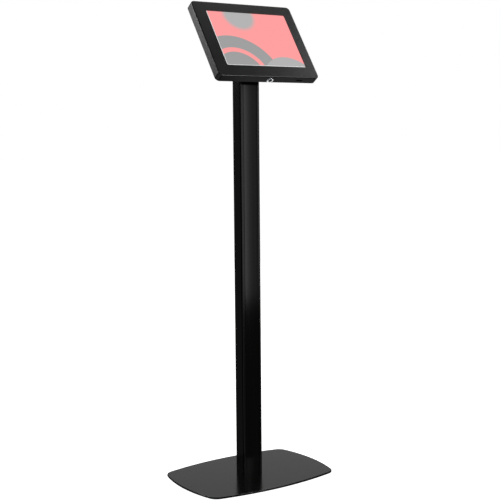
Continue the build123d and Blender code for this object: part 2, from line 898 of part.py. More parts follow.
# Cam lock, drawn along Z from the outer face of the bottom wall inwards


def barrel_outline(radius, flat_gap):
    """A round barrel with two flats, so that it can't turn in its hole."""
    return Circle(radius) & Rectangle(2 * radius, barrel_flats + 2 * flat_gap)


def make_lock_barrel():
    face = rod(lock_face_r, -lock_face_t, 0)
    face = chamfer(face.edges().sort_by(Axis.Z)[0], lock_face_edge)
    barrel = face + between(barrel_outline(barrel_r, 0), 0, barrel_len)
    barrel -= rod(plug_r + running_gap, -lock_face_t - cut_over, barrel_len + cut_over)
    groove = Circle(barrel_r + cut_over) - Circle(barrel_r - clip_grip)
    barrel -= between(groove, sheet_t, sheet_t + clip_t)
    return head_place * lock_place * barrel


def make_lock_clip():
    """A horseshoe clip that sits in the barrel's groove against the wall."""
    grip_r = barrel_r - clip_grip + sliding_gap
    face = RectangleRounded(clip_w, clip_h, cam_tip_r)
    mouth = Pos(clip_w / 4) * Rectangle(clip_w / 2 + cut_over, 2 * grip_r)
    face -= Circle(grip_r) + mouth
    return head_place * lock_place * between(face, sheet_t + sliding_gap, sheet_t + clip_t - sliding_gap)


def make_lock_plug():
    face_z = plug_set_back - lock_face_t
    plug = rod(plug_r, face_z, plug_tail_from)
    plug += between(Rectangle(plug_tail, plug_tail), plug_tail_from, cam_from + cam_t)
    plug -= between(Rectangle(key_slot_w, key_slot_h), face_z - cut_over, face_z + key_slot_depth)
    plug -= rod(cam_screw_r + sliding_gap, cam_from + cam_t - cam_screw_depth, cam_from + cam_t + cut_over)
    return head_place * lock_place * plug


def make_lock_cam():
    """A hub and a square-ended arm; it points to the back when unlocked."""
    arm = Pos(0, cam_reach / 2) * Rectangle(cam_arm_w, cam_reach)
    arm = fillet(arm.vertices().sort_by(Axis.Y)[-2:], cam_tip_r)
    face = arm + Circle(cam_hub_r) - Rectangle(plug_tail + cam_gap, plug_tail + cam_gap)
    return head_place * lock_place * between(face, cam_from, cam_from + cam_t)


def make_cam_screw():
    screw = button_head_screw(
        cam_screw_r,
        cam_screw_depth - sliding_gap,
        cam_screw_head_r,
        cam_screw_head_t,
        cam_screw_edge,
        cam_screw_key_r,
    )
    return head_place * lock_place * Pos(0, 0, cam_from + cam_t) * screw


nodes = {
    "base_plate": make_base_plate,
    "base_feet": make_base_feet,
    "base_screws": make_base_screws,
    "column_extrusion": make_column_extrusion,
    "front_panel": make_front_panel,
    "cable_grommet": make_cable_grommet,
    "tilt_bracket": make_tilt_bracket,
    "bracket_screws": make_bracket_screws,
    "pivot_sleeve": make_pivot_sleeve,
    "tilt_plate": make_tilt_plate,
    "pivot_bolt": make_pivot_bolt,
    "pivot_nut": make_pivot_nut,
    "pivot_washers": make_pivot_washers,
    "vesa_plate": make_vesa_plate,
    "swivel_disc": make_swivel_disc,
    "swivel_bolt": make_swivel_bolt,
    "swivel_washers": make_swivel_washers,
    "swivel_nut": make_swivel_nut,
    "stop_pin": make_stop_pin,
    "vesa_screws": make_vesa_screws,
    "press_nuts": make_press_nuts,
    "rear_tray": make_rear_tray,
    "lock_keeper": make_lock_keeper,
    "rivets": make_rivets,
    "hinge_fixed_leaf": make_hinge_fixed_leaf,
    "tablet_body": make_tablet_body,
    "tablet_glass": make_tablet_glass,
    "tablet_pads": make_tablet_pads,
    "edge_spacers": make_edge_spacers,
    "front_frame": make_front_frame,
    "window_liner": make_window_liner,
    "hinge_moving_leaf": make_hinge_moving_leaf,
    "hinge_pin": make_hinge_pin,
    "lock_barrel": make_lock_barrel,
    "lock_clip": make_lock_clip,
    "lock_plug": make_lock_plug,
    "lock_cam": make_lock_cam,
    "cam_screw": make_cam_screw,
}

os.makedirs("parts", exist_ok=True)
for name, make in nodes.items():
    export_step(make(), f"parts/{name}.step")
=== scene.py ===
"""The looks of a floor-standing security kiosk for a tablet: finishes, small detail, studio light and camera.

Metres, +Z up, the user stands on the -Y side. Sizes that a maker would give in millimetres are
written in millimetres and multiplied by mm.
"""
import math

import bmesh
import bpy
from mathutils import Matrix, Vector


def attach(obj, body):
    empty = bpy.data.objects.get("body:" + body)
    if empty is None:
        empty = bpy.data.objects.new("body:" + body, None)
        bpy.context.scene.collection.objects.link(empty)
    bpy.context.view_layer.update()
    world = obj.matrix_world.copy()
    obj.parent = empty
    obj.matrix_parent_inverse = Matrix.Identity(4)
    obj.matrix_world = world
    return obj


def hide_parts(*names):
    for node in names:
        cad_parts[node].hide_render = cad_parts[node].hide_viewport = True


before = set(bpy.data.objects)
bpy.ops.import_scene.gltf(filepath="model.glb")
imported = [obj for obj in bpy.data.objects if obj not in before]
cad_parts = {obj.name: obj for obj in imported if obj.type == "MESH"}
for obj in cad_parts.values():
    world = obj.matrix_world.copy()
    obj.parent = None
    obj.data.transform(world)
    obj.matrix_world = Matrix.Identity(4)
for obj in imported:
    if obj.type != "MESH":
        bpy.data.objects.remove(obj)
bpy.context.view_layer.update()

mm = 0.001

# The tilting head: the pivot's place, the screen's lean from the floor, and the housing's distance
pivot_y = 2.0 * mm
pivot_z = 985.7 * mm
head_lean = 55.37
tray_to_pivot = 31.7 * mm
square_plate_t = 2.5 * mm

# The window in the front frame, in the head's own plane
window_left = -103.45 * mm
window_right = 110.05 * mm
window_low = -73.3 * mm
window_high = 77.8 * mm

# The lock: its middle across the head and above the tray, the housing's low wall, and how far it stands out
lock_across = 2.6 * mm
housing_low = -103.4 * mm
barrel_proud = 1.0 * mm
lock_level = 8.6 * mm

# The lit part of the screen
screen_left = window_left + 3.1 * mm
screen_right = window_right + 2.5 * mm
screen_low = window_low + 3.0 * mm
screen_high = window_high + 2.5 * mm

# The clevis on the column's top, its screws, and the tilting plate's lugs
clevis_top = 948.5 * mm
ear_inner = 10.0 * mm
ear_outer = 13.0 * mm
ear_foot_d = 28.0 * mm
screw_x = 20.05 * mm
screw_pitch_y = 19.0 * mm
screw_middle_y = 2.55 * mm
lug_inner = 13.7 * mm
lug_outer = 16.7 * mm
lug_root_h = 24.0 * mm
tilt_plate_back = -7.05 * mm

# The welds at the feet of the ears and lugs
weld_w = 3.4 * mm
weld_sink = 0.2 * mm
weld_end_gap = 1.0 * mm
weld_grain = 0.28 * mm

# The domed screws of the clevis and of the square plate
bracket_head_r = 4.9 * mm
bracket_head_t = 3.0 * mm
bracket_shank_r = 2.9 * mm
bracket_shank_len = 18.0 * mm
bracket_key_r = 2.3 * mm
plate_head_r = 3.7 * mm
plate_head_t = 2.3 * mm
plate_shank_r = 2.0 * mm
plate_shank_len = 7.0 * mm
plate_key_r = 1.45 * mm
plate_screw_pitch = 100.0 * mm
socket_depth = 1.5 * mm

# Nylon rings at the ends of the two locking nuts
pivot_nut_end = 24.8 * mm
swivel_nut_end = 16.2 * mm
nut_ring_r = 4.75 * mm
nut_ring_thick = 0.9 * mm

# Rubber feet under the plate
foot_r = 11.0 * mm
foot_t = 1.5 * mm
foot_pitch_x = 277.2 * mm
foot_pitch_y = 164.2 * mm
foot_rim_r = 0.5 * mm
foot_rim_w = 2.0 * mm
foot_groove_w = 1.6 * mm
foot_groove_depth = 0.6 * mm
foot_dish_depth = 0.4 * mm

# The lock's bezel, on the outer face of its barrel
bezel_r = 6.9 * mm
bezel_bore_r = 4.5 * mm
bezel_t = 1.4 * mm
bezel_dome = 1.1 * mm
bezel_lip = 0.5 * mm

head_place = (
    Matrix.Translation((0, pivot_y, pivot_z))
    @ Matrix.Rotation(math.radians(head_lean), 4, "X")
    @ Matrix.Translation((0, 0, tray_to_pivot))
)
lock_face_place = (
    head_place
    @ Matrix.Translation((lock_across, housing_low - barrel_proud, lock_level))
    @ Matrix.Rotation(math.radians(90), 4, "X")
)


# Materials


def linear(hex_colour):
    """A colour in linear light from its sRGB hex value."""
    shares = [int(hex_colour[n:n + 2], 16) / 255 for n in (1, 3, 5)]
    return [s / 12.92 if s <= 0.04045 else ((s + 0.055) / 1.055) ** 2.4 for s in shares] + [1.0]


def pattern_scale(size_mm):
    """The texture scale that gives a pattern its real size."""
    return 1 / (size_mm * mm)


# The sockets of a Mix node set to colours, whose names don't tell them from its others
share, first, second = 0, 6, 7
mixed = 2


def add(tree, kind, settings, inputs):
    """Adds one node with its settings, and its inputs' values or links."""
    node = tree.nodes.new(kind)
    for name, value in settings.items():
        setattr(node, name, value)
    for name, value in inputs.items():
        if isinstance(value, bpy.types.NodeSocket):
            tree.links.new(value, node.inputs[name])
        else:
            node.inputs[name].default_value = value
    return node


def new_material(name, surface):
    """A material with one shader, given its constants, and the place on the object for its patterns."""
    material = bpy.data.materials.new(name)
    material.use_nodes = True
    tree = material.node_tree
    tree.nodes.clear()
    shader = add(tree, "ShaderNodeBsdfPrincipled", {}, surface)
    add(tree, "ShaderNodeOutputMaterial", {}, {"Surface": shader.outputs["BSDF"]})
    place = add(tree, "ShaderNodeTexCoord", {}, {}).outputs["Object"]
    return material, tree, shader, place


def join_finish(tree, shader, tint, rough, bump=None):
    """Gives a shader its colour, its roughness and, where the surface has one, its fine relief."""
    tree.links.new(tint.outputs[mixed], shader.inputs["Base Color"])
    tree.links.new(rough.outputs[0], shader.inputs["Roughness"])
    if bump:
        tree.links.new(bump.outputs["Normal"], shader.inputs["Normal"])


def textured_powder_coat():
    """Polyester powder baked on sheet steel: a fine pebbled grain that spreads each highlight."""
    material, tree, shader, place = new_material("textured_powder_coat", {"IOR": 1.5})
    grain = add(tree, "ShaderNodeTexNoise", {}, {"Vector": place, "Scale": pattern_scale(0.5), "Detail": 3.0})
    pebble = add(tree, "ShaderNodeTexVoronoi", {}, {"Vector": place, "Scale": pattern_scale(0.9)})
    height = add(tree, "ShaderNodeMath", {"operation": "ADD"}, {
        0: grain.outputs["Fac"], 1: pebble.outputs["Distance"],
    })
    bump = add(tree, "ShaderNodeBump", {}, {
        "Height": height.outputs[0], "Strength": 0.3, "Distance": 0.04 * mm,
    })
    patches = add(tree, "ShaderNodeTexNoise", {}, {"Vector": place, "Scale": pattern_scale(25.0)})
    rough = add(tree, "ShaderNodeMapRange", {}, {
        "Value": patches.outputs["Fac"], "To Min": 0.29, "To Max": 0.35,
    })
    tint = add(tree, "ShaderNodeMix", {"data_type": "RGBA"}, {
        share: grain.outputs["Fac"], first: linear("#070708"), second: linear("#0D0D0E"),
    })
    join_finish(tree, shader, tint, rough, bump)
    return material


def satin_powder_coat():
    """The foot plate's smoother powder coat: faint orange peel, and a soft picture of the column."""
    material, tree, shader, place = new_material("satin_powder_coat", {"IOR": 1.5})
    peel = add(tree, "ShaderNodeTexNoise", {}, {"Vector": place, "Scale": pattern_scale(3.0), "Detail": 1.0})
    bump = add(tree, "ShaderNodeBump", {}, {
        "Height": peel.outputs["Fac"], "Strength": 0.08, "Distance": 0.05 * mm,
    })
    cloud = add(tree, "ShaderNodeTexNoise", {}, {"Vector": place, "Scale": pattern_scale(60.0)})
    rough = add(tree, "ShaderNodeMapRange", {}, {
        "Value": cloud.outputs["Fac"], "To Min": 0.17, "To Max": 0.21,
    })
    speck = add(tree, "ShaderNodeTexNoise", {}, {"Vector": place, "Scale": pattern_scale(0.7), "Detail": 2.0})
    tint = add(tree, "ShaderNodeMix", {"data_type": "RGBA"}, {
        share: speck.outputs["Fac"], first: linear("#020202"), second: linear("#060606"),
    })
    join_finish(tree, shader, tint, rough, bump)
    return material


def black_anodised_extrusion():
    """Anodised aluminium, dyed black: long fine lines that the die left along the column."""
    material, tree, shader, place = new_material("black_anodised_extrusion", {"IOR": 1.75})
    along = add(tree, "ShaderNodeMapping", {}, {"Vector": place, "Scale": (1.0, 1.0, 0.008)})
    lines = add(tree, "ShaderNodeTexNoise", {}, {
        "Vector": along.outputs["Vector"], "Scale": pattern_scale(0.9), "Detail": 3.0,
    })
    bump = add(tree, "ShaderNodeBump", {}, {
        "Height": lines.outputs["Fac"], "Strength": 0.12, "Distance": 0.03 * mm,
    })
    rough = add(tree, "ShaderNodeMapRange", {}, {
        "Value": lines.outputs["Fac"], "To Min": 0.11, "To Max": 0.15,
    })
    tint = add(tree, "ShaderNodeMix", {"data_type": "RGBA"}, {
        share: lines.outputs["Fac"], first: linear("#040405"), second: linear("#090909"),
    })
    join_finish(tree, shader, tint, rough, bump)
    return material


def satin_abs_panel():
    """Extruded ABS with a satin surface: faint lengthwise drag lines in a deep black."""
    material, tree, shader, place = new_material("satin_abs_panel", {"IOR": 1.53})
    along = add(tree, "ShaderNodeMapping", {}, {"Vector": place, "Scale": (1.0, 1.0, 0.012)})
    lines = add(tree, "ShaderNodeTexNoise", {}, {
        "Vector": along.outputs["Vector"], "Scale": pattern_scale(1.6), "Detail": 2.0,
    })
    bump = add(tree, "ShaderNodeBump", {}, {
        "Height": lines.outputs["Fac"], "Strength": 0.06, "Distance": 0.03 * mm,
    })
    rough = add(tree, "ShaderNodeMapRange", {}, {
        "Value": lines.outputs["Fac"], "To Min": 0.09, "To Max": 0.12,
    })
    tint = add(tree, "ShaderNodeMix", {"data_type": "RGBA"}, {
        share: lines.outputs["Fac"], first: linear("#020202"), second: linear("#060606"),
    })
    join_finish(tree, shader, tint, rough, bump)
    return material


def moulded_rubber():
    """Moulded black rubber: matt, with the fine spark grain of its mould."""
    material, tree, shader, place = new_material("moulded_rubber", {"IOR": 1.52})
    grain = add(tree, "ShaderNodeTexNoise", {}, {"Vector": place, "Scale": pattern_scale(0.6), "Detail": 4.0})
    bump = add(tree, "ShaderNodeBump", {}, {
        "Height": grain.outputs["Fac"], "Strength": 0.4, "Distance": 0.08 * mm,
    })
    rough = add(tree, "ShaderNodeMapRange", {}, {
        "Value": grain.outputs["Fac"], "To Min": 0.68, "To Max": 0.85,
    })
    tint = add(tree, "ShaderNodeMix", {"data_type": "RGBA"}, {
        share: grain.outputs["Fac"], first: linear("#19191A"), second: linear("#262627"),
    })
    join_finish(tree, shader, tint, rough, bump)
    return material


def bright_zinc_steel():
    """Zinc-plated steel: a cool bright metal whose plating crystals cloud the gloss a little."""
    material, tree, shader, place = new_material("bright_zinc_steel", {"Metallic": 1.0})
    crystals = add(tree, "ShaderNodeTexVoronoi", {}, {"Vector": place, "Scale": pattern_scale(1.2)})
    grain = add(tree, "ShaderNodeTexNoise", {}, {"Vector": place, "Scale": pattern_scale(0.4), "Detail": 3.0})
    bump = add(tree, "ShaderNodeBump", {}, {
        "Height": grain.outputs["Fac"], "Strength": 0.1, "Distance": 0.02 * mm,
    })
    rough = add(tree, "ShaderNodeMapRange", {}, {
        "Value": crystals.outputs["Distance"], "To Min": 0.24, "To Max": 0.36,
    })
    tint = add(tree, "ShaderNodeMix", {"data_type": "RGBA"}, {
        share: crystals.outputs["Distance"], first: linear("#C9CDD2"), second: linear("#B4B8BC"),
    })
    join_finish(tree, shader, tint, rough, bump)
    return material


def black_oxide_steel():
    """Blackened steel of the screws and nuts: dark, a little oily, with a dry bloom here and there."""
    material, tree, shader, place = new_material("black_oxide_steel", {"Metallic": 1.0})
    bloom = add(tree, "ShaderNodeTexNoise", {}, {"Vector": place, "Scale": pattern_scale(2.5), "Detail": 4.0})
    bump = add(tree, "ShaderNodeBump", {}, {
        "Height": bloom.outputs["Fac"], "Strength": 0.12, "Distance": 0.03 * mm,
    })
    rough = add(tree, "ShaderNodeMapRange", {}, {
        "Value": bloom.outputs["Fac"], "To Min": 0.28, "To Max": 0.48,
    })
    tint = add(tree, "ShaderNodeMix", {"data_type": "RGBA"}, {
        share: bloom.outputs["Fac"], first: linear("#26262A"), second: linear("#3A3A3D"),
    })
    join_finish(tree, shader, tint, rough, bump)
    return material


def polished_chrome():
    """Chrome plate on the lock: mirror bright, with hairline rubs from keys."""
    material, tree, shader, place = new_material("polished_chrome", {"Metallic": 1.0})
    rubs = add(tree, "ShaderNodeMapping", {}, {"Vector": place, "Scale": (1.0, 0.2, 0.2)})
    hair = add(tree, "ShaderNodeTexNoise", {}, {
        "Vector": rubs.outputs["Vector"], "Scale": pattern_scale(0.25), "Detail": 2.0,
    })
    rough = add(tree, "ShaderNodeMapRange", {}, {
        "Value": hair.outputs["Fac"], "To Min": 0.07, "To Max": 0.16,
    })
    tint = add(tree, "ShaderNodeMix", {"data_type": "RGBA"}, {
        share: hair.outputs["Fac"], first: linear("#E2E4E6"), second: linear("#D3D5D8"),
    })
    join_finish(tree, shader, tint, rough)
    return material


def black_nickel():
    """The lock's plug: a dark smoky metal whose darkness is painted shade, so that the key slot sits in
    shadow.
    """
    material, tree, shader, place = new_material("black_nickel", {"Metallic": 1.0})
    smoke = add(tree, "ShaderNodeTexNoise", {}, {"Vector": place, "Scale": pattern_scale(1.5), "Detail": 3.0})
    rough = add(tree, "ShaderNodeMapRange", {}, {
        "Value": smoke.outputs["Fac"], "To Min": 0.18, "To Max": 0.30,
    })
    # the plug's dark colours are painted shade for the shadowed key slot
    tint = add(tree, "ShaderNodeMix", {"data_type": "RGBA"}, {
        share: smoke.outputs["Fac"], first: linear("#2A2A2C"), second: linear("#3A3A3D"),
    })
    join_finish(tree, shader, tint, rough)
    return material


def natural_nylon():
    """Undyed nylon washers and disc: milky, with light that goes a little way in."""
    material, tree, shader, place = new_material("natural_nylon", {
        "IOR": 1.53, "Subsurface Weight": 0.3, "Subsurface Radius": (0.9 * mm, 0.8 * mm, 0.6 * mm),
        "Subsurface Scale": 1.0,
    })
    flow = add(tree, "ShaderNodeTexNoise", {}, {"Vector": place, "Scale": pattern_scale(6.0), "Detail": 2.0})
    rough = add(tree, "ShaderNodeMapRange", {}, {"Value": flow.outputs["Fac"], "To Min": 0.38, "To Max": 0.5})
    tint = add(tree, "ShaderNodeMix", {"data_type": "RGBA"}, {
        share: flow.outputs["Fac"], first: linear("#E9E3D4"), second: linear("#DDD5C2"),
    })
    join_finish(tree, shader, tint, rough)
    return material


def cut_eva_foam():
    """Black closed-cell foam, cut: dull, with open cells about half a millimetre wide."""
    material, tree, shader, place = new_material("cut_eva_foam", {"IOR": 1.45})
    cells = add(tree, "ShaderNodeTexVoronoi", {}, {"Vector": place, "Scale": pattern_scale(0.6)})
    bump = add(tree, "ShaderNodeBump", {}, {
        "Height": cells.outputs["Distance"], "Strength": 0.6, "Distance": 0.2 * mm,
    })
    rough = add(tree, "ShaderNodeMapRange", {}, {
        "Value": cells.outputs["Distance"], "To Min": 0.82, "To Max": 0.95,
    })
    tint = add(tree, "ShaderNodeMix", {"data_type": "RGBA"}, {
        share: cells.outputs["Distance"], first: linear("#1B1B1C"), second: linear("#2C2C2E"),
    })
    join_finish(tree, shader, tint, rough, bump)
    return material


def blasted_aluminium():
    """The tablet's back: bead-blasted, silver anodised aluminium with a very fine sparkle."""
    material, tree, shader, place = new_material("blasted_aluminium", {"Metallic": 1.0})
    # real blasting is under 0.1 mm; drawn at 0.3 mm so that it still shows
    blast = add(tree, "ShaderNodeTexNoise", {}, {"Vector": place, "Scale": pattern_scale(0.3), "Detail": 2.0})
    bump = add(tree, "ShaderNodeBump", {}, {
        "Height": blast.outputs["Fac"], "Strength": 0.2, "Distance": 0.02 * mm,
    })
    rough = add(tree, "ShaderNodeMapRange", {}, {
        "Value": blast.outputs["Fac"], "To Min": 0.36, "To Max": 0.44,
    })
    tint = add(tree, "ShaderNodeMix", {"data_type": "RGBA"}, {
        share: blast.outputs["Fac"], first: linear("#B9BBBE"), second: linear("#C6C8CB"),
    })
    join_finish(tree, shader, tint, rough, bump)
    return material


# The screen's own design in millimetres: large overlapping discs, each (across, up, radius), and their edges
disc_low_left = (-70.0, -95.0, 105.0)
disc_low_right = (60.0, -120.0, 75.0)
ring_outer = (-70.0, -95.0, 72.0)
ring_inner = (-70.0, -95.0, 60.0)
disc_top = (-20.0, 70.0, 40.0)
crisp_edge = 0.3
blurred_edge = 6.0


def inside_disc(tree, across, up, disc, edge_mm):
    """1 inside one of the screen's discs and 0 outside, with an edge of the given softness."""
    centre_across, centre_up, radius = disc
    from_centre = add(tree, "ShaderNodeVectorMath", {"operation": "DISTANCE"}, {
        0: add(tree, "ShaderNodeCombineXYZ", {}, {"X": across, "Y": up}).outputs[0],
        1: (centre_across * mm, centre_up * mm, 0.0),
    })
    return add(tree, "ShaderNodeMapRange", {}, {
        "Value": from_centre.outputs["Value"],
        "From Min": (radius + edge_mm) * mm, "From Max": (radius - edge_mm) * mm,
        "To Min": 0.0, "To Max": 1.0,
    }).outputs[0]


def lit_screen():
    """A lit display under glass: red and grey discs in a pale bezel that has a painted glow, and the glass's
    own gloss.
    """
    material, tree, shader, place = new_material("lit_screen", {
        "IOR": 1.5, "Roughness": 0.06, "Emission Strength": 1.0,
    })
    centre = head_place.translation
    on_head = add(tree, "ShaderNodeVectorMath", {"operation": "SUBTRACT"}, {0: place, 1: centre})
    across = add(tree, "ShaderNodeSeparateXYZ", {}, {0: on_head.outputs[0]}).outputs["X"]
    up = add(tree, "ShaderNodeVectorMath", {"operation": "DOT_PRODUCT"}, {
        0: on_head.outputs[0], 1: head_place.col[1].to_3d(),
    }).outputs["Value"]
    red = linear("#FFA0A0")
    grey = linear("#A0A0A0")
    pale_grey = linear("#B4B4B4")
    picture = add(tree, "ShaderNodeMix", {"data_type": "RGBA"}, {
        share: inside_disc(tree, across, up, disc_low_left, crisp_edge), first: red, second: grey,
    }).outputs[mixed]
    for disc, colour, edge_mm in (
        (disc_low_right, pale_grey, crisp_edge),
        (ring_outer, red, crisp_edge),
        (ring_inner, grey, crisp_edge),
        (disc_top, pale_grey, blurred_edge),
    ):
        picture = add(tree, "ShaderNodeMix", {"data_type": "RGBA"}, {
            share: inside_disc(tree, across, up, disc, edge_mm), first: picture, second: colour,
        }).outputs[mixed]
    lit = None
    for value, edge, inward in (
        (across, screen_left, 1), (across, screen_right, -1), (up, screen_low, 1), (up, screen_high, -1),
    ):
        side = add(tree, "ShaderNodeMath", {"operation": "GREATER_THAN" if inward > 0 else "LESS_THAN"}, {
            0: value, 1: edge,
        }).outputs[0]
        lit = side if lit is None else add(tree, "ShaderNodeMath", {"operation": "MULTIPLY"}, {
            0: lit, 1: side,
        }).outputs[0]
    # outside the lit picture the bezel gets a painted glow of #A8A8A8, so it shows pale where it lies in
    # shade
    picture_and_painted_bezel_glow = add(tree, "ShaderNodeMix", {"data_type": "RGBA"}, {
        share: lit, first: linear("#A8A8A8"), second: picture,
    })
    painted = add(tree, "ShaderNodeMix", {"data_type": "RGBA"}, {
        share: lit, first: linear("#D8D8D8"), second: linear("#050505"),
    })
    tree.links.new(painted.outputs[mixed], shader.inputs["Base Color"])
    tree.links.new(picture_and_painted_bezel_glow.outputs[mixed], shader.inputs["Emission Color"])
    return material


def dress(material, *nodes):
    """Gives one finish to some of the CAD nodes."""
    for name in nodes:
        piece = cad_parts[name]
        for slot in piece.material_slots:
            slot.material = material


housing_coat = textured_powder_coat()
rubber = moulded_rubber()
zinc = bright_zinc_steel()
black_steel = black_oxide_steel()
chrome = polished_chrome()
nylon = natural_nylon()
dress(
    housing_coat,
    "front_frame", "rear_tray", "tilt_bracket", "tilt_plate", "vesa_plate",
    "hinge_fixed_leaf", "hinge_moving_leaf",
)
dress(satin_powder_coat(), "base_plate")
dress(black_anodised_extrusion(), "column_extrusion")
dress(satin_abs_panel(), "front_panel")
dress(rubber, "base_feet", "cable_grommet")
dress(
    zinc,
    "pivot_sleeve", "swivel_washers", "stop_pin", "press_nuts", "lock_keeper", "rivets", "hinge_pin",
    "lock_clip", "lock_cam", "cam_screw",
)
dress(
    black_steel,
    "base_screws", "bracket_screws", "pivot_bolt", "pivot_nut", "swivel_bolt", "swivel_nut", "vesa_screws",
)
dress(chrome, "lock_barrel")
dress(black_nickel(), "lock_plug")
dress(nylon, "pivot_washers", "swivel_disc")
dress(cut_eva_foam(), "tablet_pads", "edge_spacers", "window_liner")
dress(blasted_aluminium(), "tablet_body")
dress(lit_screen(), "tablet_glass")


# Modelling

# Points closer than this are taken as one, and faces that meet at less than this angle shade as one
touching = 0.01 * mm
crease_angle = 40


def begin(name):
    """Names the primitive just added, settles it, and opens it to be shaped by its faces."""
    piece = bpy.context.object
    piece.name = name
    piece.data.name = name
    bpy.ops.object.transform_apply(location=True, rotation=True, scale=True)
    bpy.ops.object.mode_set(mode="EDIT")
    bpy.ops.mesh.select_mode(type="FACE")
    return piece


def pick_faces(piece, wanted):
    """Selects only the faces whose middle and normal are wanted."""
    bpy.ops.mesh.select_mode(type="FACE")
    bpy.ops.mesh.select_all(action="DESELECT")
    shape = bmesh.from_edit_mesh(piece.data)
    for face in shape.faces:
        if wanted(face.calc_center_median(), face.normal):
            face.select_set(True)
    bmesh.update_edit_mesh(piece.data)


def pick_edges(piece, wanted):
    """Selects only the edges whose two ends are wanted."""
    bpy.ops.mesh.select_mode(type="EDGE")
    bpy.ops.mesh.select_all(action="DESELECT")
    shape = bmesh.from_edit_mesh(piece.data)
    for edge in shape.edges:
        if wanted(edge.verts[0].co, edge.verts[1].co):
            edge.select_set(True)
    bmesh.update_edit_mesh(piece.data)


def level_with(height):
    """A test for edges that lie in the level plane at one height."""
    return lambda start, end: abs(start.z - height) < touching and abs(end.z - height) < touching


def level_ring(height, radius):
    """A test for the edges of one level ring about Z."""
    def on_ring(point):
        return abs(point.z - height) < touching and abs(point.xy.length - radius) < touching
    return lambda start, end: on_ring(start) and on_ring(end)


def push_out(distance):
    """Extrudes the picked faces up, or down for a negative distance."""
    bpy.ops.mesh.extrude_region_move(TRANSFORM_OT_translate={"value": (0, 0, distance)})


def apply_modifier(piece, kind, **settings):
    """Adds one modifier with its settings and applies it."""
    bpy.ops.object.mode_set(mode="OBJECT")
    modifier = piece.modifiers.new(kind.lower(), kind)
    for name, value in settings.items():
        setattr(modifier, name, value)
    bpy.context.view_layer.objects.active = piece
    bpy.ops.object.modifier_apply(modifier=modifier.name)


def settle(piece, places, material, body):
    """Copies a shaped piece to its places, joins the copies, and gives them their finish and body."""
    bpy.ops.object.mode_set(mode="OBJECT")
    name = piece.name
    copies = []
    for place in places:
        copy = piece.copy()
        copy.data = piece.data.copy()
        copy.matrix_world = place
        bpy.context.collection.objects.link(copy)
        copies.append(copy)
    bpy.data.objects.remove(piece)
    bpy.ops.object.select_all(action="DESELECT")
    for copy in copies:
        copy.select_set(True)
    bpy.context.view_layer.objects.active = copies[0]
    if len(copies) > 1:
        bpy.ops.object.join()
    bpy.ops.object.transform_apply(location=True, rotation=True, scale=True)
    bpy.ops.object.shade_smooth_by_angle(angle=math.radians(crease_angle))
    settled = bpy.context.object
    settled.name = name
    settled.data.materials.clear()
    settled.data.materials.append(material)
    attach(settled, body)
    bpy.ops.object.select_all(action="DESELECT")
    return settled


def corner_places(pitch_x, pitch_y, place):
    """The four corners of a rectangle about a place."""
    return [
        place @ Matrix.Translation((side_x * pitch_x / 2, side_y * pitch_y / 2, 0))
        for side_x in (-1, 1) for side_y in (-1, 1)
    ]


turned_over = Matrix.Rotation(math.pi, 4, "X")


# Screws with domed heads and hexagon sockets

dome_share = 0.75


def domed_screw(name, head_r, head_t, shank_r, shank_len, key_r):
    """A button-head screw that stands on z = 0 with its head up."""
    bpy.ops.object.select_all(action="DESELECT")
    bpy.ops.mesh.primitive_cylinder_add(vertices=32, radius=head_r, depth=head_t, location=(0, 0, head_t / 2))
    screw = begin(name)
    pick_faces(screw, lambda middle, normal: normal.z < -0.9)
    bpy.ops.mesh.inset(thickness=head_r - shank_r)
    push_out(-shank_len)
    pick_edges(screw, level_with(head_t))
    bpy.ops.mesh.bevel(offset=dome_share * head_t, segments=5, profile=0.5, affect="EDGES")
    bpy.ops.object.mode_set(mode="OBJECT")
    bpy.ops.mesh.primitive_cylinder_add(
        vertices=6, radius=key_r, depth=2 * socket_depth, location=(0, 0, head_t)
    )
    key = bpy.context.object
    apply_modifier(screw, "BOOLEAN", operation="DIFFERENCE", object=key)
    bpy.data.objects.remove(key)
    return screw


def make_bracket_screws():
    """Four screws that hold the clevis on the column's top."""
    screw = domed_screw(
        "bracket_screws_domed",
        bracket_head_r, bracket_head_t, bracket_shank_r, bracket_shank_len, bracket_key_r,
    )
    seat = Matrix.Translation((0, pivot_y + screw_middle_y, clevis_top))
    placed = settle(
        screw, corner_places(2 * screw_x, screw_pitch_y, seat), black_steel, "stand"
    )
    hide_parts("bracket_screws")


def make_plate_screws():
    """Four screws through the square plate on the housing's back."""
    screw = domed_screw(
        "vesa_screws_domed", plate_head_r, plate_head_t, plate_shank_r, plate_shank_len, plate_key_r
    )
    seat = head_place @ Matrix.Translation((0, 0, -square_plate_t)) @ turned_over
    placed = settle(
        screw, corner_places(plate_screw_pitch, plate_screw_pitch, seat), black_steel, "head"
    )
    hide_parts("vesa_screws")


# Rubber feet

def make_feet():
    """Round moulded feet with a soft rim, a grip ring and a shallow dish in the middle."""
    bpy.ops.object.select_all(action="DESELECT")
    bpy.ops.mesh.primitive_cylinder_add(
        vertices=48, radius=foot_r, depth=foot_t, location=(0, 0, foot_t / 2)
    )
    foot = begin("moulded_feet")
    pick_edges(foot, level_with(0))
    bpy.ops.mesh.bevel(offset=foot_rim_r, segments=3, profile=0.5, affect="EDGES")
    pick_faces(foot, lambda middle, normal: normal.z < -0.99)
    bpy.ops.mesh.inset(thickness=foot_rim_w)
    bpy.ops.mesh.inset(thickness=foot_groove_w)
    pick_faces(foot, lambda middle, normal: normal.z < -0.99 and on_groove(middle.xy.length))
    push_out(foot_groove_depth)
    pick_faces(foot, lambda middle, normal: normal.z < -0.99 and middle.xy.length < foot_groove_w)
    bpy.ops.mesh.inset(thickness=foot_groove_w)
    push_out(foot_dish_depth)
    placed = settle(
        foot, corner_places(foot_pitch_x, foot_pitch_y, Matrix.Identity(4)), rubber, "stand"
    )
    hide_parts("base_feet")


